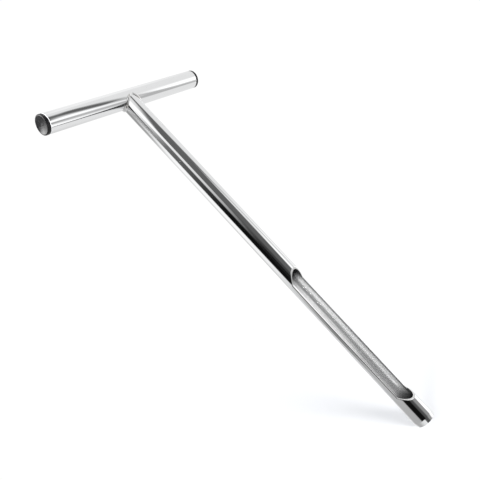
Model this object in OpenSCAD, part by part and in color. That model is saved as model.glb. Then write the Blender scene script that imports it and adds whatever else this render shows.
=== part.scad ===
// T-handled soil sampling probe: a steel tube with a long side window and a bevelled cutting
// mouth, welded under a crossbar of the same tube, with a press-in plastic plug at each end.
// Origin: centre of the cutting mouth. +Z runs up the shaft to the handle, the crossbar lies
// along X, and the window faces -Y.

/* [Tube] */
// Outer diameter of the shaft tube and of the crossbar tube
tube_od = 24; // [22:0.5:28]
// Wall thickness of both tubes
tube_wall = 1.5; // [1.2:0.1:2.5]
// Small bevel that breaks the crossbar's sawn ends
sawn_edge = 0.3; // [0.1:0.1:0.5]

/* [Overall] */
// Height from the cutting edge to the top of the crossbar
overall_h = 533; // [430:1:700]
// Length of the handle over both plug heads
handle_l = 249; // [200:1:300]

/* [Cutting end] */
// Length of the outer bevel
bevel_l = 5.5; // [3:0.5:8]
// Width of the flat left at the cutting edge
edge_land = 0.4; // [0.2:0.05:0.6]

/* [Window] */
// Height of the window's lowest point above the cutting edge
window_low = 28.5; // [22:0.5:45]
// Height of the window's highest point above the cutting edge
window_high = 224.5; // [180:0.5:260]
// Distance of the long cut from the shaft's axis, towards the open side
cut_offset = 2; // [0:0.1:3]
// Length of the slanted cut at the bottom of the window
low_ramp_l = 12; // [8:0.5:20]
// Length of the slanted cut at the top of the window
high_ramp_l = 15.5; // [8:0.5:20]
// Radius where a slanted cut meets the long cut
ramp_corner_r = 3; // [1:0.5:5]

/* [Weld] */
// Radius of the weld bead in the corners between shaft and crossbar
weld_r = 3; // [2:0.1:3.5]
// Radius of the weld bead at the sides, where the two tubes run flush
weld_side_r = 1.5; // [1:0.1:2]

/* [End plugs] */
// Thickness of the plug head outside the tube
plug_head_t = 4; // [2.5:0.5:6]
// Rounding of the plug head's outer edge
plug_edge_r = 1.1; // [0.5:0.1:1.4]
// Width of the rim around the dished face
plug_rim_w = 1.6; // [1.5:0.1:3]
// Depth of the dish in the plug head
plug_dish_d = 1.3; // [0.5:0.1:1.8]
// Length of the plug inside the tube
plug_stem_l = 16; // [10:1:25]
// Number of gripping rings on the plug stem
plug_rings = 4; // [2:1:5]

/* [Hidden] */
$fn = 96;
steel = [0.78, 0.79, 0.80];
weld_steel = [0.64, 0.63, 0.62];
black_plastic = [0.05, 0.05, 0.05];

outer_r = tube_od / 2;
bore_r = outer_r - tube_wall;
bar_z = overall_h - outer_r;
bar_l = handle_l - 2 * plug_head_t;
// The shaft's thin horns beside the crossbar stop this far below the crossbar's axis
horn_trim = 2.5;
// Inside, the coped end is dressed back to a cone, so the true bore ends just under the crossbar
cope_gap = 1;
cope_dressing = 0.9;
bore_l = bar_z - outer_r - cope_gap;
past = 1;

// Points of an arc in the plane, from angle a0 to angle a1
function arc(centre, r, a0, a1, steps) =
    [for (i = [0 : steps])
        let (a = a0 + (a1 - a0) * i / steps)
        centre + r * [cos(a), sin(a)]];

// Cylinder of the tube's outer surface along the crossbar
module bar_envelope() {
    translate([-bar_l / 2, 0, bar_z]) rotate([0, 90, 0]) cylinder(h = bar_l, r = outer_r);
}

// ---- Shaft ----

// Side outline of the window as [y, z]: one long cut beside the axis, with a slanted cut at
// each end that runs out through the tube's outer surface.
window_rise = outer_r - cut_offset;
low_foot = window_low + low_ramp_l;
high_foot = window_high - high_ramp_l;
low_slant = atan2(window_rise, low_ramp_l);
high_slant = atan2(window_rise, high_ramp_l);
clear_rise = window_rise + past;
corner_y = -cut_offset - ramp_corner_r;
window_outline = concat(
    [[-cut_offset - clear_rise, low_foot - clear_rise / tan(low_slant)]],
    arc([corner_y, low_foot + ramp_corner_r * tan(low_slant / 2)], ramp_corner_r, -low_slant, 0, 5),
    arc([corner_y, high_foot - ramp_corner_r * tan(high_slant / 2)], ramp_corner_r, 0, high_slant, 5),
    [[-cut_offset - clear_rise, high_foot + clear_rise / tan(high_slant)]]);

module window_cutter() {
    translate([-tube_od, 0, 0])
        rotate([90, 0, 90])
            linear_extrude(height = 2 * tube_od) polygon(window_outline);
}

module shaft_tube() {
    color(steel)
        difference() {
            union() {
                cylinder(h = bevel_l, r1 = bore_r + edge_land, r2 = outer_r);
                translate([0, 0, bevel_l])
                    cylinder(h = bar_z - horn_trim - bevel_l, r = outer_r);
            }
            translate([0, 0, -past]) cylinder(h = bore_l + past, r = bore_r);
            translate([0, 0, bore_l])
                cylinder(h = bar_z - bore_l, r1 = bore_r, r2 = bore_r + cope_dressing);
            window_cutter();
            bar_envelope();
        }
}

// ---- Crossbar ----

module crossbar_tube() {
    end = bar_l / 2;
    color(steel)
        translate([0, 0, bar_z])
            rotate([0, 90, 0])
                rotate_extrude()
                    polygon([
                        [bore_r, -end], [outer_r - sawn_edge, -end], [outer_r, -end + sawn_edge],
                        [outer_r, end - sawn_edge], [outer_r - sawn_edge, end], [bore_r, end]]);
}

// ---- Weld ----

weld_steps = 48;
ball_fn = 16;

// The bead's centre runs round the saddle where the shaft meets the crossbar. It dips in the
// two corners along X and rises to just below the crossbar's axis at the sides.
function weld_centre(a) =
    [outer_r * cos(a), outer_r * sin(a), bar_z - sqrt(pow(outer_r * cos(a), 2) + pow(horn_trim, 2))];
function weld_radius(a) = weld_side_r + (weld_r - weld_side_r) * pow(cos(a), 2);

module weld_drop(i) {
    a = 360 * i / weld_steps;
    translate(weld_centre(a)) rotate(a) sphere(r = weld_radius(a), $fn = ball_fn);
}

module weld_bead() {
    color(weld_steel)
        difference() {
            for (i = [0 : weld_steps - 1]) hull() {
                weld_drop(i);
                weld_drop(i + 1);
            }
            translate([0, 0, bar_z - tube_od]) cylinder(h = 2 * tube_od, r = outer_r);
            bar_envelope();
        }
}

// ---- End plugs ----

stem_r = bore_r - 1.6;
stem_bore_r = stem_r - 1.5;
head_floor = 0.8;
ring_t = 1.2;
ring_pitch = (plug_stem_l - ring_t) / plug_rings;
ring_lead = 0.4;
head_back_edge = 0.5;

dish_a = outer_r - plug_rim_w;
dish_r = (dish_a * dish_a + plug_dish_d * plug_dish_d) / (2 * plug_dish_d);

// Half section as [radius, height]: height 0 is the tube's end, the head is above it and the
// hollow stem with its rings is below.
plug_outline = concat(
    arc([0, plug_head_t - plug_dish_d + dish_r], dish_r, -90, -90 + asin(dish_a / dish_r), 10),
    arc([outer_r - plug_edge_r, plug_head_t - plug_edge_r], plug_edge_r, 90, 0, 6),
    [[outer_r, head_back_edge], [outer_r - head_back_edge, 0]],
    [for (i = [0 : plug_rings - 1])
        let (z = -ring_pitch * i)
        each [[stem_r, z - (i == 0 ? 0 : ring_t)], [stem_r, z - ring_pitch],
              [bore_r, z - ring_pitch], [bore_r, z - ring_pitch - ring_t + ring_lead],
              [bore_r - ring_lead, z - ring_pitch - ring_t]]],
    [[stem_bore_r, -plug_stem_l], [stem_bore_r, head_floor], [0, head_floor]]);

module end_plug() {
    color(black_plastic) rotate_extrude() polygon(plug_outline);
}

module left_end_plug() {
    translate([-bar_l / 2, 0, bar_z]) rotate([0, -90, 0]) end_plug();
}

module right_end_plug() {
    translate([bar_l / 2, 0, bar_z]) rotate([0, 90, 0]) end_plug();
}

shaft_tube();
crossbar_tube();
weld_bead();
left_end_plug();
right_end_plug();
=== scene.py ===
import math
import bmesh
import bpy
from mathutils import Matrix, Vector


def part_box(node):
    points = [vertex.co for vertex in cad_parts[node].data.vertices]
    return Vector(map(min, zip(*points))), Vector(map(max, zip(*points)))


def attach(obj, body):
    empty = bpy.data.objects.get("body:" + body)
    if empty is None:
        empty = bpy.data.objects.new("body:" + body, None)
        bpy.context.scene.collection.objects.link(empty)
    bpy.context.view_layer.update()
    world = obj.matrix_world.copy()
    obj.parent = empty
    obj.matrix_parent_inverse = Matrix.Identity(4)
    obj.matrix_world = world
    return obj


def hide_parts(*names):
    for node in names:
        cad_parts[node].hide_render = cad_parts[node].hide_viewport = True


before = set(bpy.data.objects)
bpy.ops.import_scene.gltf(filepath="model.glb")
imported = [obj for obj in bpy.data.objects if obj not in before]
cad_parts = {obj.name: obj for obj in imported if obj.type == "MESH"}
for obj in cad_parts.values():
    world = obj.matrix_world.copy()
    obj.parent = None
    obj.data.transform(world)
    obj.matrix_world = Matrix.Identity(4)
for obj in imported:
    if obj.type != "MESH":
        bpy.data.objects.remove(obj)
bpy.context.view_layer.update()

scene = bpy.context.scene
mm = 0.001
tubeWall = 1.5 * mm

# the sizes every piece shares, read from the CAD frame
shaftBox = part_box("shaft_tube")
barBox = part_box("crossbar_tube")
outerR = shaftBox[1].x
barZ = (barBox[0].z + barBox[1].z) / 2
barEnd = barBox[1].x
boreR = outerR - tubeWall
print("frame loaded: tube radius %.1f mm, crossbar at %.1f mm" % (outerR / mm, barZ / mm))


# it stands low on the window side, left of the probe, and is rolled so the shaft runs down to the right
cameraSet = {
    "place": (-0.4267, -0.4228, 0.2074),
    "turn": 43.764,      # degrees from +Y towards +X
    "rise": 7.980,
    "roll": 42.734,
    "lens": 38.0,
}


def makeCamera(c):
    turn, rise, roll = (math.radians(c[key]) for key in ("turn", "rise", "roll"))
    look = Vector((math.sin(turn) * math.cos(rise), math.cos(turn) * math.cos(rise), math.sin(rise)))
    side = look.cross(Vector((0, 0, 1))).normalized()
    up = side.cross(look) * math.cos(roll) + side * math.sin(roll)
    right = look.cross(up)
    data = bpy.data.cameras.new("camera")
    data.lens = c["lens"]
    data.sensor_width = 36.0
    data.clip_start = 0.01
    camera = bpy.data.objects.new("camera", data)
    axes = Matrix((right, up, -look)).transposed().to_4x4()
    camera.matrix_world = Matrix.Translation(c["place"]) @ axes
    scene.collection.objects.link(camera)
    scene.camera = camera


makeCamera(cameraSet)
print("camera set")


class Tree:
    # small wrapper that adds nodes and wires plain numbers or sockets into them
    def __init__(self, tree):
        self.tree = tree

    def add(self, kind, **settings):
        node = self.tree.nodes.new(kind)
        for key, value in settings.items():
            setattr(node, key, value)
        return node

    def plug(self, node, name, value):
        socket = node.inputs[name]
        if isinstance(value, bpy.types.NodeSocket):
            self.tree.links.new(value, socket)
        else:
            socket.default_value = value

    def math(self, operation, a, b=0.0, c=0.0, clamp=False):
        node = self.add("ShaderNodeMath", operation=operation, use_clamp=clamp)
        for index, value in enumerate((a, b, c)):
            self.plug(node, index, value)
        return node.outputs[0]

    def ramp(self, value, low, high, toLow=0.0, toHigh=1.0):
        node = self.add("ShaderNodeMapRange", interpolation_type="SMOOTHSTEP", clamp=True)
        for name, number in (("Value", value), ("From Min", low), ("From Max", high),
                             ("To Min", toLow), ("To Max", toHigh)):
            self.plug(node, name, number)
        return node.outputs["Result"]

    def noise(self, where, scale, detail=2.0, rough=0.5):
        node = self.add("ShaderNodeTexNoise")
        settings = {"Vector": where, "Scale": scale, "Detail": detail, "Roughness": rough}
        for name, value in settings.items():
            self.plug(node, name, value)
        return node.outputs["Fac"]

    def stretch(self, where, scale):
        node = self.add("ShaderNodeMapping")
        self.plug(node, "Vector", where)
        self.plug(node, "Scale", scale)
        return node.outputs["Vector"]

    def split(self, where):
        node = self.add("ShaderNodeSeparateXYZ")
        self.plug(node, 0, where)
        return node.outputs

    def mixColour(self, share, a, b):
        node = self.add("ShaderNodeMix", data_type="RGBA")
        self.plug(node, 0, share)
        self.plug(node, 6, a)
        self.plug(node, 7, b)
        return node.outputs[2]

    def bump(self, height, distance, strength=1.0, normal=None):
        node = self.add("ShaderNodeBump")
        self.plug(node, "Height", height)
        self.plug(node, "Distance", distance)
        self.plug(node, "Strength", strength)
        if normal is not None:
            self.plug(node, "Normal", normal)
        return node.outputs["Normal"]


def newMaterial(name):
    material = bpy.data.materials.new(name)
    material.use_nodes = True
    tree = Tree(material.node_tree)
    shader = material.node_tree.nodes["Principled BSDF"]
    place = tree.add("ShaderNodeTexCoord").outputs["Object"]
    return material, tree, shader, place


# a mirror-polished tube: faint polishing lines run round it, with soft smudges and a slow waviness
def polishedSteel(name, along):
    material, tree, shader, place = newMaterial(name)
    lines = [400, 400, 400]
    lines[along] = 2600
    fine = tree.noise(tree.stretch(place, lines), 1.0, 2.0)
    smudge = tree.noise(place, 38.0, 3.0, 0.6)
    wave = tree.noise(place, 22.0, 1.0)
    dull, bright = (0.84, 0.845, 0.85, 1), (0.90, 0.905, 0.91, 1)
    tree.plug(shader, "Base Color", tree.mixColour(smudge, dull, bright))
    shader.inputs["Metallic"].default_value = 1.0
    rough = tree.math("MULTIPLY_ADD", tree.ramp(smudge, 0.35, 0.75), 0.035, 0.045)
    rough = tree.math("MULTIPLY_ADD", fine, 0.03, rough)
    tree.plug(shader, "Roughness", rough)
    normal = tree.bump(wave, 0.00006)
    tree.plug(shader, "Normal", tree.bump(fine, 0.0000015, normal=normal))
    return material


# the drawn inside of the tube: satin, with streaks along it and fine scrape marks across. Its colour is
# darkened to near black below and above the window and beside the long cut, as painted shade
def drawnSteel(name):
    material, tree, shader, place = newMaterial(name)
    streak = tree.noise(tree.stretch(place, (1100, 1100, 22)), 1.0, 3.0, 0.6)
    scrape = tree.noise(tree.stretch(place, (160, 160, 1500)), 1.0, 2.0)
    patch = tree.noise(tree.stretch(place, (90, 90, 30)), 1.0, 2.0)
    grit = tree.noise(place, 1300.0, 3.0, 0.7)
    # the third colour is the near-black painted shade for the window's ends and the cut edge
    dark, light, painted_shade = (0.66, 0.66, 0.66, 1), (0.95, 0.95, 0.95, 1), (0.07, 0.07, 0.07, 1)
    shade = tree.math("MULTIPLY_ADD", grit, 0.5, tree.math("MULTIPLY", streak, 0.5))
    colour = tree.mixColour(tree.ramp(shade, 0.36, 0.62), dark, light)
    x, y, z = tree.split(place)
    # painted shade: falls to 0 below and above the window (the crossbar's bore too), and at the cut edge
    # itself
    bare = tree.math("MULTIPLY", tree.ramp(z, 0.026, 0.046), tree.ramp(z, 0.206, 0.221, 1.0, 0.0))
    bare = tree.math("MULTIPLY", bare, tree.ramp(y, -0.0020, 0.0016, -0.25, 1.0))
    # grit speckles lift the painted shade in small spots
    grit_lift = tree.math("MULTIPLY", tree.ramp(grit, 0.4, 0.65), 0.25)
    bare = tree.math("MULTIPLY_ADD", bare, 0.85, grit_lift, clamp=True)
    # the painted shade is mixed over the bore's own streaked colour
    tree.plug(shader, "Base Color", tree.mixColour(bare, painted_shade, colour))
    shader.inputs["Metallic"].default_value = 0.80
    tree.plug(shader, "Roughness", tree.math("MULTIPLY_ADD", patch, 0.16, 0.10))
    normal = tree.bump(streak, 0.00001)
    normal = tree.bump(grit, 0.00001, normal=normal)
    tree.plug(shader, "Normal", tree.bump(scrape, 0.000006, normal=normal))
    return material


# a ground edge: brighter and flatter than the inside, with grinding marks along the tube
def groundSteel(name, metal, rough):
    material, tree, shader, place = newMaterial(name)
    grind = tree.noise(tree.stretch(place, (2400, 2400, 260)), 1.0, 2.0)
    tree.plug(shader, "Base Color", tree.mixColour(grind, (0.90, 0.90, 0.90, 1), (0.98, 0.98, 0.98, 1)))
    shader.inputs["Metallic"].default_value = metal
    tree.plug(shader, "Roughness", tree.math("MULTIPLY_ADD", grind, 0.12, rough))
    tree.plug(shader, "Normal", tree.bump(grind, 0.000004))
    return material


# the buffed weld: a little duller than the tube, with pits and a trace of straw tint in the hollows
def weldSteel(name):
    material, tree, shader, place = newMaterial(name)
    pit = tree.noise(place, 900.0, 3.0, 0.6)
    tint = tree.noise(place, 140.0, 2.0)
    bare, straw = (0.86, 0.86, 0.86, 1), (0.74, 0.72, 0.69, 1)
    tree.plug(shader, "Base Color", tree.mixColour(tree.ramp(tint, 0.5, 0.75), bare, straw))
    shader.inputs["Metallic"].default_value = 1.0
    tree.plug(shader, "Roughness", tree.math("MULTIPLY_ADD", pit, 0.22, 0.08))
    tree.plug(shader, "Normal", tree.bump(pit, 0.00005))
    return material


# moulded black plastic: glossy, with a fine mould grain and light handling marks
def blackPlastic(name):
    material, tree, shader, place = newMaterial(name)
    grain = tree.noise(place, 1500.0, 3.0, 0.6)
    wear = tree.noise(tree.stretch(place, (120, 260, 260)), 1.0, 4.0, 0.65)
    dark, dusty = (0.006, 0.006, 0.0065, 1), (0.016, 0.016, 0.0165, 1)
    tree.plug(shader, "Base Color", tree.mixColour(tree.ramp(wear, 0.45, 0.8), dark, dusty))
    shader.inputs["Specular IOR Level"].default_value = 0.2
    tree.plug(shader, "Roughness", tree.math("MULTIPLY_ADD", tree.ramp(wear, 0.3, 0.7), 0.12, 0.16))
    tree.plug(shader, "Normal", tree.bump(grain, 0.00002))
    return material


shaftSteel = polishedSteel("polished_shaft", 2)
barSteel = polishedSteel("polished_crossbar", 0)
boreSteel = drawnSteel("drawn_bore")
edgeSteel = groundSteel("ground_edge", 1.0, 0.06)
sawnSteel = groundSteel("sawn_end", 0.3, 0.45)
beadSteel = weldSteel("buffed_weld")
plugPlastic = blackPlastic("black_plug")
print("materials ready")


def arc(centreA, centreB, r, start, end, steps):
    # points of an arc in a plane, with angles in degrees
    turns = [math.radians(start + (end - start) * i / steps) for i in range(steps + 1)]
    return [(centreA + r * math.cos(t), centreB + r * math.sin(t)) for t in turns]


def makePiece(name, points, faces, materials):
    # faces is a list of (corner indices, material index); doubled points are welded
    mesh = bpy.data.meshes.new(name)
    mesh.from_pydata(points, [], [corners for corners, _ in faces])
    for material in materials:
        mesh.materials.append(material)
    for polygon, (_, index) in zip(mesh.polygons, faces):
        polygon.material_index = index
        polygon.use_smooth = True
    work = bmesh.new()
    work.from_mesh(mesh)
    bmesh.ops.remove_doubles(work, verts=work.verts, dist=0.002 * mm)
    bmesh.ops.dissolve_degenerate(work, edges=work.edges, dist=0.002 * mm)
    bmesh.ops.recalc_face_normals(work, faces=work.faces)
    work.to_mesh(mesh)
    work.free()
    piece = bpy.data.objects.new(name, mesh)
    scene.collection.objects.link(piece)
    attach(piece, "root")
    return piece


def finishEdges(piece, width, steps=3, angle=35.0):
    # rounds the sharp edges, then shades by face size so flat and round faces stay true
    bevel = piece.modifiers.new("edges", "BEVEL")
    bevel.width = width
    bevel.segments = steps
    bevel.limit_method = "ANGLE"
    bevel.angle_limit = math.radians(angle)
    bevel.harden_normals = True
    evened = piece.modifiers.new("shading", "WEIGHTED_NORMAL")
    evened.keep_sharp = False
    evened.weight = 80
    graph = bpy.context.evaluated_depsgraph_get()
    finished = bpy.data.meshes.new_from_object(piece.evaluated_get(graph))
    piece.modifiers.clear()
    piece.data = finished


def lathe(profile, sides, place):
    # turns a closed outline of (radius, height, material index) about its own axis.
    # place() sets a point of it in the frame
    points, faces = [], []
    for step in range(sides):
        turn = 2 * math.pi * step / sides
        points += [place(r * math.cos(turn), r * math.sin(turn), h) for r, h, _ in profile]
    count = len(profile)
    for step in range(sides):
        here, there = step * count, (step + 1) % sides * count
        for i in range(count):
            j = (i + 1) % count
            faces.append(((here + i, here + j, there + j, there + i), profile[i][2]))
    return points, faces


shaft = {
    "sides": 160,
    "bevel": 5.5 * mm,
    "land": 0.4 * mm,
    "windowLow": 28.5 * mm,
    "windowHigh": 224.5 * mm,
    "cut": 2.0 * mm,          # the long cut's distance from the axis
    "lowRamp": 12.0 * mm,
    "highRamp": 15.5 * mm,
    "cornerR": 3.0 * mm,
    "hornTrim": 2.5 * mm,
    "edgeOut": 1.0 * mm,      # rounding of the cut edges, outside and inside
    "edgeIn": 0.4 * mm,
    "edgeSteps": 6,
}


def rampHeights(fromHeight, steps):
    # heights down a slanted cut, closer together where the cut runs out at the crown of the tube
    heights = {outerR, boreR}
    for radius in (outerR, boreR):
        last = math.acos(fromHeight / radius)
        heights |= {radius * math.cos(last * i / steps) for i in range(steps + 1)}
    return sorted(heights, reverse=True)


def windowStations(s):
    # (height up the shaft, height of the cut towards -Y) all along the window
    rise = outerR - s["cut"]
    stations = []
    corner = s["cornerR"]
    for end, foot, length in ((-1, s["windowLow"] + s["lowRamp"], s["lowRamp"]),
                              (1, s["windowHigh"] - s["highRamp"], s["highRamp"])):
        slant = math.atan2(rise, length)
        back = corner * math.tan(slant / 2)
        bend = [(foot + end * (corner * math.sin(t) - back), s["cut"] + corner * (1 - math.cos(t)))
                for t in (slant * i / 16 for i in range(17))]
        ramp = [(foot + end * (h - s["cut"]) / math.tan(slant), h) for h in rampHeights(bend[-1][1], 14)]
        part = bend + ramp[::-1][1:]
        stations.append(part[::-1] if end < 0 else part)
    low, high = stations
    middle = [(low[-1][0] + (high[0][0] - low[-1][0]) * i / 24, s["cut"]) for i in range(1, 24)]
    return low + middle + high


def saddle(angle, radius, s):
    # height of the shaft's coped end, with the angle measured from -Y
    under = math.sqrt(outerR ** 2 - (radius * math.cos(angle)) ** 2)
    return barZ - max(under, s["hornTrim"])


def roundedCorner(before, corner, after, steps):
    # points of a smooth turn from one side of a corner to the other
    points = []
    for i in range(steps + 1):
        t = i / steps
        points.append(tuple((1 - t) ** 2 * a + 2 * t * (1 - t) * b + t * t * c
                            for a, b, c in zip(before, corner, after)))
    return points


def cutSection(height, z, side, s):
    # cross-section of one cut edge of the wall: rounded outer corner, face, rounded inner corner.
    # Also gives the angles from -Y at which the outer and inner walls begin
    halfOuter = math.sqrt(max(0.0, outerR ** 2 - height ** 2))
    halfInner = math.sqrt(max(0.0, boreR ** 2 - height ** 2))
    easeOuter = min(s["edgeOut"], 0.45 * halfOuter)
    easeInner = min(s["edgeIn"], 0.45 * halfInner)
    startOuter = math.acos(min(1.0, height / outerR)) + easeOuter / outerR
    startInner = math.acos(min(1.0, height / boreR)) + easeInner / boreR

    def wallPoint(radius, angle):
        return (side * radius * math.sin(angle), -radius * math.cos(angle), z)

    def facePoint(across):
        return (side * across, -height, z)

    if halfInner == 0.0:
        inner = [facePoint(0.0)] * (s["edgeSteps"] + 1)
    else:
        inner = roundedCorner(facePoint(halfInner + easeInner), facePoint(halfInner),
                              wallPoint(boreR, startInner), s["edgeSteps"])
    outer = roundedCorner(wallPoint(outerR, startOuter), facePoint(halfOuter),
                          facePoint(halfOuter - easeOuter), s["edgeSteps"])
    return outer + inner, startOuter, startInner


def makeShaft(s):
    sides = s["sides"]
    mouthR = boreR + s["land"]
    full = [(z * mm, None) for z in (5.8, 8, 12, 16, 20, 24, 27)]
    above = [(s["windowHigh"] + 4 * mm + (0.500 - s["windowHigh"]) * i / 20, None) for i in range(21)]
    rows = full + windowStations(s) + above
    top = rows[-1][0]
    points, faces = [], []

    def ring(radius, z, opening=0.0, towardsSaddle=0.0):
        first = len(points)
        for step in range(sides + 1):
            angle = opening + (2 * math.pi - 2 * opening) * step / sides
            height = z + (saddle(angle, radius, s) - z) * towardsSaddle
            points.append((radius * math.sin(angle), -radius * math.cos(angle), height))
        return first

    outer, inner, strips = [], [], []
    for share in (0.0, 0.04, 0.5, 0.96, 1.0):
        outer.append(ring(mouthR + (outerR - mouthR) * share, s["bevel"] * share))
        inner.append(ring(boreR, s["bevel"] * share))
        strips.append(None)
    for z, height in rows:
        if height is None:
            outer.append(ring(outerR, z))
            inner.append(ring(boreR, z))
            strips.append(None)
            continue
        pair = []
        for side in (1, -1):
            section, startOuter, startInner = cutSection(height, z, side, s)
            pair.append(list(range(len(points), len(points) + len(section))))
            points += section
        outer.append(ring(outerR, z, startOuter))
        inner.append(ring(boreR, z, startInner))
        strips.append(pair)
    for share in (0.25, 0.5, 0.75, 1.0):
        outer.append(ring(outerR, top, 0.0, share))
        inner.append(ring(boreR, top, 0.0, share))
        strips.append(None)

    for j in range(len(outer) - 1):
        for i in range(sides):
            faces.append(((outer[j] + i, outer[j] + i + 1, outer[j + 1] + i + 1, outer[j + 1] + i), 0))
            faces.append(((inner[j] + i + 1, inner[j] + i, inner[j + 1] + i, inner[j + 1] + i + 1), 1))
        if strips[j] and strips[j + 1]:
            for here, there in zip(strips[j], strips[j + 1]):
                for k in range(len(here) - 1):
                    faces.append(((here[k], here[k + 1], there[k + 1], there[k]), 2))
    for i in range(sides):
        faces.append(((inner[0] + i, inner[0] + i + 1, outer[0] + i + 1, outer[0] + i), 2))
        faces.append(((outer[-1] + i, outer[-1] + i + 1, inner[-1] + i + 1, inner[-1] + i), 2))
    piece = makePiece("shaft_tube_skin", points, faces, [shaftSteel, boreSteel, edgeSteel])
    finishEdges(piece, 0.12 * mm)
    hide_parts("shaft_tube")


makeShaft(shaft)
print("shaft built")


crossbar = {
    "sides": 160,
    "edge": 0.7 * mm,
    "boreEdge": 0.2 * mm,
}


def alongBar(end):
    # sets a turned shape with its axis along X and its height pointing to one end of the crossbar
    return lambda a, b, height: (end * height, a * end, barZ + b)


def makeCrossbar(c):
    e = c["edge"]
    outside = [(outerR - e + e * math.sin(t), barEnd - e + e * math.cos(t), 2)
               for t in (math.radians(15 * i) for i in range(7))]
    rows = [barEnd * share for share in (0.98, 0.8, 0.6, 0.4, 0.2, 0.1)]
    outline = outside + [(outerR, h, 0) for h in rows]
    outline += [(outerR, 0.0, 0)]
    outline[6] = (outline[6][0], outline[6][1], 0)    # the rounding ends here and the polish begins
    outline += [(r, -h, 2 if h > barEnd - e - 0.01 * mm else 0) for r, h, _ in reversed(outline[:-1])]
    broken = c["boreEdge"]
    outline += [(boreR + broken, -barEnd, 2), (boreR, -barEnd + broken, 1),
                (boreR, barEnd - broken, 2), (boreR + broken, barEnd, 2)]
    points, faces = lathe(outline, c["sides"], alongBar(1))
    piece = makePiece("crossbar_tube_skin", points, faces, [barSteel, boreSteel, sawnSteel])
    finishEdges(piece, 0.05 * mm, 2, 60)
    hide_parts("crossbar_tube")


makeCrossbar(crossbar)
print("crossbar built")


weld = {
    "steps": 720,
    "arcSteps": 14,
    "cornerR": 3.0 * mm,
    "sideR": 1.5 * mm,
    "hornTrim": 2.5 * mm,
    "ripples": 54,
    "rippleDepth": 0.09 * mm,
    "flatness": 0.22,
    "root": 0.5 * mm,        # how far the bead's hidden root lies inside the tubes
}


def makeWeld(w):
    points, faces = [], []
    count = w["arcSteps"] + 2
    for step in range(w["steps"]):
        turn = 2 * math.pi * step / w["steps"]
        cosT, sinT = math.cos(turn), math.sin(turn)
        centreZ = barZ - math.hypot(outerR * cosT, w["hornTrim"])
        corner = cosT * cosT
        radius = w["sideR"] + (w["cornerR"] - w["sideR"]) * corner
        low = -math.pi / 2
        high = math.atan2(sinT * sinT, abs(cosT) + 1e-6)
        uneven = 1 + 0.05 * math.sin(3 * turn + 0.7) + 0.035 * math.sin(7 * turn + 2.1)
        for i in range(w["arcSteps"] + 1):
            share = i / w["arcSteps"]
            angle = low + (high - low) * share
            across = 2 * share - 1
            flat = 1 - w["flatness"] * corner * (1 - across * across)
            # each ripple is a crescent that trails back towards the toes of the bead
            phase = (w["ripples"] * turn / (2 * math.pi) + 0.45 * across * across) % 1.0
            crescent = math.sqrt(max(0.0, 1 - (2 * phase - 1) ** 2)) - 0.6
            ripple = w["rippleDepth"] * (1 - across ** 4) * crescent
            reach = radius * flat * uneven + ripple
            sink = 0.05 * mm * across ** 6
            r = outerR + reach * math.cos(angle) - sink
            points.append((r * cosT, r * sinT, centreZ + reach * math.sin(angle) + sink * corner))
        inside = outerR - w["root"]
        points.append((inside * cosT, inside * sinT, centreZ + w["root"] * corner))
    for step in range(w["steps"]):
        here, there = step * count, (step + 1) % w["steps"] * count
        for i in range(count):
            j = (i + 1) % count
            faces.append(((here + i, here + j, there + j, there + i), 0))
    piece = makePiece("weld_bead_skin", points, faces, [beadSteel])
    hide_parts("weld_bead")


makeWeld(weld)
print("weld built")


plug = {
    "sides": 128,
    "head": 4.0 * mm,
    "edgeR": 1.1 * mm,
    "rim": 1.6 * mm,
    "dish": 1.3 * mm,
    "stem": 16.0 * mm,
    "stemR": 8.9 * mm,
    "stemWall": 1.5 * mm,
    "rings": 4,
    "ringT": 1.2 * mm,
    "gateR": 0.9 * mm,       # the moulding mark in the middle of the dish
}


def plugOutline(p):
    # half section of the plug as (radius, height above the tube's end)
    dishA = outerR - p["rim"]
    dishR = (dishA ** 2 + p["dish"] ** 2) / (2 * p["dish"])
    centreH = p["head"] - p["dish"] + dishR
    gate = math.degrees(math.asin(p["gateR"] / dishR))
    full = math.degrees(math.asin(dishA / dishR))
    dishFloor = p["head"] - p["dish"]
    outline = [(0.0, dishFloor + 0.25 * mm), (p["gateR"] * 0.7, dishFloor + 0.22 * mm)]
    outline += arc(0.0, centreH, dishR, -90 + gate, -90 + full * 0.985, 24)
    lip = outline[-1]
    outline += [(dishA + 0.1 * mm, lip[1] + 0.12 * mm), (dishA + 0.35 * mm, p["head"])]
    outline += arc(outerR - p["edgeR"], p["head"] - p["edgeR"], p["edgeR"], 90, 0, 10)
    outline += arc(outerR - 0.5 * mm, 0.5 * mm, 0.5 * mm, 0, -90, 5)
    outline.append((p["stemR"], 0.0))
    pitch = (p["stem"] - p["ringT"]) / p["rings"]
    for index in range(p["rings"]):
        top = -pitch * (index + 1)
        outline += [(p["stemR"], top + 0.1 * mm), (boreR - 0.05 * mm, top), (boreR, top - 0.1 * mm),
                    (boreR, top - p["ringT"] + 0.45 * mm), (boreR - 0.4 * mm, top - p["ringT"])]
        if index < p["rings"] - 1:
            outline.append((p["stemR"], top - p["ringT"]))
    stemBore = p["stemR"] - p["stemWall"]
    outline += [(stemBore, -p["stem"]), (stemBore, 0.6 * mm), (stemBore - 0.3 * mm, 0.8 * mm),
                (0.0, 0.8 * mm)]
    return outline


def makePlug(p, end, name, node):
    outline = [(max(r, 0.0), barEnd + h, 0) for r, h in plugOutline(p)]
    points, faces = lathe(outline, p["sides"], alongBar(end))
    piece = makePiece(name, points, faces, [plugPlastic])
    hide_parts(node)


makePlug(plug, -1, "left_end_plug_skin", "left_end_plug")
makePlug(plug, 1, "right_end_plug_skin", "right_end_plug")
print("plugs built")


floorSet = {
    "radius": 25.0,
    "albedo": 0.93,
}


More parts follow.
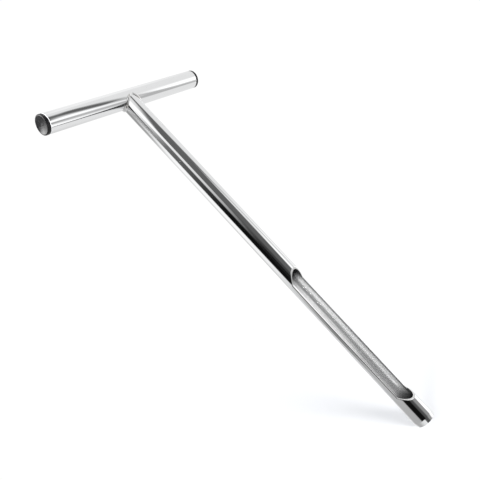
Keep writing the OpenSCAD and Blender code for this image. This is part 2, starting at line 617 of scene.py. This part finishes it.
def makeFloor(f):
    mesh = bpy.data.meshes.new("floor")
    work = bmesh.new()
    bmesh.ops.create_circle(work, cap_ends=True, segments=96, radius=f["radius"])
    work.to_mesh(mesh)
    work.free()
    floor = bpy.data.objects.new("floor", mesh)
    scene.collection.objects.link(floor)
    material, tree, shader, place = newMaterial("paper_floor")
    tooth = tree.noise(place, 900.0, 2.0)
    low, high = ((shade, shade, shade, 1) for shade in (f["albedo"], f["albedo"] + 0.02))
    tree.plug(shader, "Base Color", tree.mixColour(tooth, low, high))
    shader.inputs["Roughness"].default_value = 1.0
    shader.inputs["Specular IOR Level"].default_value = 0.0
    mesh.materials.append(material)
    floor.visible_glossy = False


# what the polished steel mirrors beyond the cards: pale walls with black and grey flags. Angles are in
# degrees, round from -Y (positive towards +X) and up from level
flags = [
    {"from": -200, "to": -145, "low": -90, "high": 12, "soft": 10, "light": 0.76},
    {"from": 145, "to": 200, "low": -90, "high": 12, "soft": 10, "light": 0.70},
    {"from": -165, "to": -119, "low": 2, "high": 25, "soft": 8, "light": 1.08},
    {"from": -200, "to": -100, "low": 24, "high": 45, "soft": 3, "light": 0.42},
    {"from": 150, "to": 200, "low": 22, "high": 45, "soft": 5, "light": 0.48},
    {"from": -200, "to": -148, "low": 22, "high": 45, "soft": 3, "light": 0.34},
    {"from": 30, "to": 130, "low": 46, "high": 58, "soft": 5, "light": 0.99},
    {"from": -168, "to": -85, "low": 38, "high": 60, "soft": 8, "light": 4.0},
    {"from": -140, "to": -85, "low": 33, "high": 52, "soft": 16, "softUp": 7, "light": 15.0},
    {"from": 58, "to": 88, "low": -5, "high": 9, "soft": 5, "light": 1.05},
    {"from": 45, "to": 90, "low": -34, "high": -10, "soft": 7, "light": 1.35},
    {"from": 38, "to": 82, "low": -50, "high": -37, "soft": 5, "light": 0.50},
    {"from": 45, "to": 90, "low": -80, "high": -53, "soft": 5, "light": 1.15},
    {"from": -130, "to": -50, "low": -75, "high": -46, "soft": 4, "light": 0.04},
    {"from": -85, "to": -30, "low": 22, "high": 60, "soft": 3, "light": 1.2},
    {"from": -117, "to": -63, "low": -10, "high": 24, "soft": 4, "light": 0.13},
    {"from": -160, "to": -120, "low": -13, "high": -2, "soft": 6, "light": 0.25},
    {"from": -200, "to": -85, "low": -38, "high": -14, "soft": 4, "light": 0.46},
    {"from": -115, "to": -68, "low": -10, "high": 16, "soft": 5, "light": 0.005},
    {"from": -70, "to": -35, "low": -10, "high": 12, "soft": 7, "light": 0.006},
    {"from": -85, "to": -35, "low": -30, "high": -6, "soft": 6, "light": 0.006},
]
wallLight = 0.86


def makeSurroundings():
    world = bpy.data.worlds.new("studio")
    scene.world = world
    world.use_nodes = True
    tree = Tree(world.node_tree)
    x, y, z = tree.split(tree.add("ShaderNodeTexCoord").outputs["Generated"])
    around = tree.math("DEGREES", tree.math("ARCTAN2", x, tree.math("MULTIPLY", y, -1.0)))
    level = tree.math("DEGREES", tree.math("ARCSINE", z))
    light = wallLight
    for flag in flags:
        share = softBox(tree, around, level, flag)
        light = tree.math("MULTIPLY_ADD", share, tree.math("SUBTRACT", flag["light"], light), light)
    rays = tree.add("ShaderNodeLightPath")
    plain = tree.mixColour(rays.outputs["Is Camera Ray"], (0.75, 0.765, 0.795, 1), (1.03, 1.03, 1.03, 1))
    colour = tree.mixColour(rays.outputs["Is Glossy Ray"], plain, light)
    tree.plug(world.node_tree.nodes["Background"], "Color", colour)


# grey and white cards in front of the probe, which only the steel sees. Zones are in metres across and
# up the card, and lean shifts a side edge across per metre up
cards = [
    {
        "name": "front_card",
        "away": 0.48,
        "zones": [
            {"from": -0.39, "to": 0.18, "low": 0.20, "high": 0.72, "soft": 0.035, "light": 0.125},
            {"from": 0.03, "to": 0.17, "low": 0.60, "high": 0.95, "soft": 0.04, "light": 0.18},
            {"from": -0.60, "to": -0.26, "low": -0.10, "high": 0.40, "soft": 0.10, "light": 0.05},
            {"from": 0.03, "to": 0.42, "low": 0.10, "high": 0.34, "soft": 0.05, "light": 1.2,
             "leanFrom": 0.5, "leanTo": -0.2},
            {"from": -0.02, "to": 0.36, "low": -0.60, "high": 0.02, "soft": 0.06, "light": 0.30},
            {"from": -0.55, "to": 0.0, "low": -0.60, "high": 0.06, "soft": 0.09, "light": 0.07},
            {"from": -0.75, "to": -0.29, "low": -0.27, "high": 0.03, "soft": 0.06, "light": 0.005},
        ],
    },
    {
        "name": "slanted_card",
        "away": 0.20,
        "centre": (0.10, 0.48),
        "turn": 48.0,
        "zones": [
            {"from": -0.045, "to": 0.030, "low": -0.06, "high": 0.14, "soft": 0.030, "light": 0.13,
             "leanTo": 0.3},
            {"from": -0.030, "to": 0.012, "low": -0.40, "high": -0.05, "soft": 0.030, "light": 0.42},
        ],
    },
]


def softBox(tree, across, up, box):
    # 1 inside the box, fading to 0 over its soft edges
    soft = box["soft"]
    softUp = box.get("softUp", soft)
    start = tree.math("SUBTRACT", across, tree.math("MULTIPLY", up, box.get("leanFrom", 0.0)))
    stop = tree.math("SUBTRACT", across, tree.math("MULTIPLY", up, box.get("leanTo", 0.0)))
    sides = tree.math("MULTIPLY", tree.ramp(start, box["from"] - soft, box["from"] + soft),
                      tree.ramp(stop, box["to"] - soft, box["to"] + soft, 1.0, 0.0))
    ends = tree.math("MULTIPLY", tree.ramp(up, box["low"] - softUp, box["low"] + softUp),
                     tree.ramp(up, box["high"] - softUp, box["high"] + softUp, 1.0, 0.0))
    return tree.math("MULTIPLY", sides, ends)


def makeCard(c):
    mesh = bpy.data.meshes.new(c["name"])
    corners = [(-1, 0, -1), (1, 0, -1), (1, 0, 1), (-1, 0, 1)]
    mesh.from_pydata(corners, [], [(0, 1, 2, 3)])
    piece = bpy.data.objects.new(c["name"], mesh)
    left, up = c.get("centre", (0.0, 0.0))
    piece.location = (left, -c["away"], up)
    piece.rotation_euler = (0, -math.radians(c.get("turn", 0.0)), 0)
    scene.collection.objects.link(piece)
    material = bpy.data.materials.new(c["name"])
    material.use_nodes = True
    tree = Tree(material.node_tree)
    material.node_tree.nodes.remove(material.node_tree.nodes["Principled BSDF"])
    x, y, z = tree.split(tree.add("ShaderNodeTexCoord").outputs["Object"])
    surface = tree.add("ShaderNodeBsdfTransparent").outputs[0]
    for zone in c["zones"]:
        glow = tree.add("ShaderNodeEmission")
        glow.inputs["Color"].default_value = (zone["light"],) * 3 + (1,)
        mix = tree.add("ShaderNodeMixShader")
        tree.plug(mix, 0, softBox(tree, x, z, zone))
        tree.plug(mix, 1, surface)
        tree.plug(mix, 2, glow.outputs[0])
        surface = mix.outputs[0]
    tree.plug(material.node_tree.nodes["Material Output"], "Surface", surface)
    mesh.materials.append(material)
    piece.visible_camera = False
    piece.visible_diffuse = False
    piece.visible_shadow = False


# soft lights that only shade the matt surfaces: the key lays a faint shadow along the floor, and the
# side light comes in level through the window and lights the far wall of the bore
lights = [
    {"name": "key", "turn": -29.0, "rise": 16.0, "strength": 3.0, "softness": 9.0},
    {"name": "side", "turn": -67.0, "rise": 3.0, "strength": 4.5, "softness": 22.0},
]


def makeLight(k):
    turn, rise = math.radians(k["turn"]), math.radians(k["rise"])
    back = Vector((math.sin(turn) * math.cos(rise), -math.cos(turn) * math.cos(rise), math.sin(rise)))
    data = bpy.data.lights.new(k["name"], "SUN")
    data.energy = k["strength"]
    data.angle = math.radians(k["softness"])
    lamp = bpy.data.objects.new(k["name"], data)
    lamp.rotation_mode = "QUATERNION"
    lamp.rotation_quaternion = (-back).to_track_quat("-Z", "Y")
    lamp.visible_glossy = False
    scene.collection.objects.link(lamp)


makeFloor(floorSet)
makeSurroundings()
for card in cards:
    makeCard(card)
for light in lights:
    makeLight(light)
scene.view_settings.view_transform = "Standard"
print("studio ready")
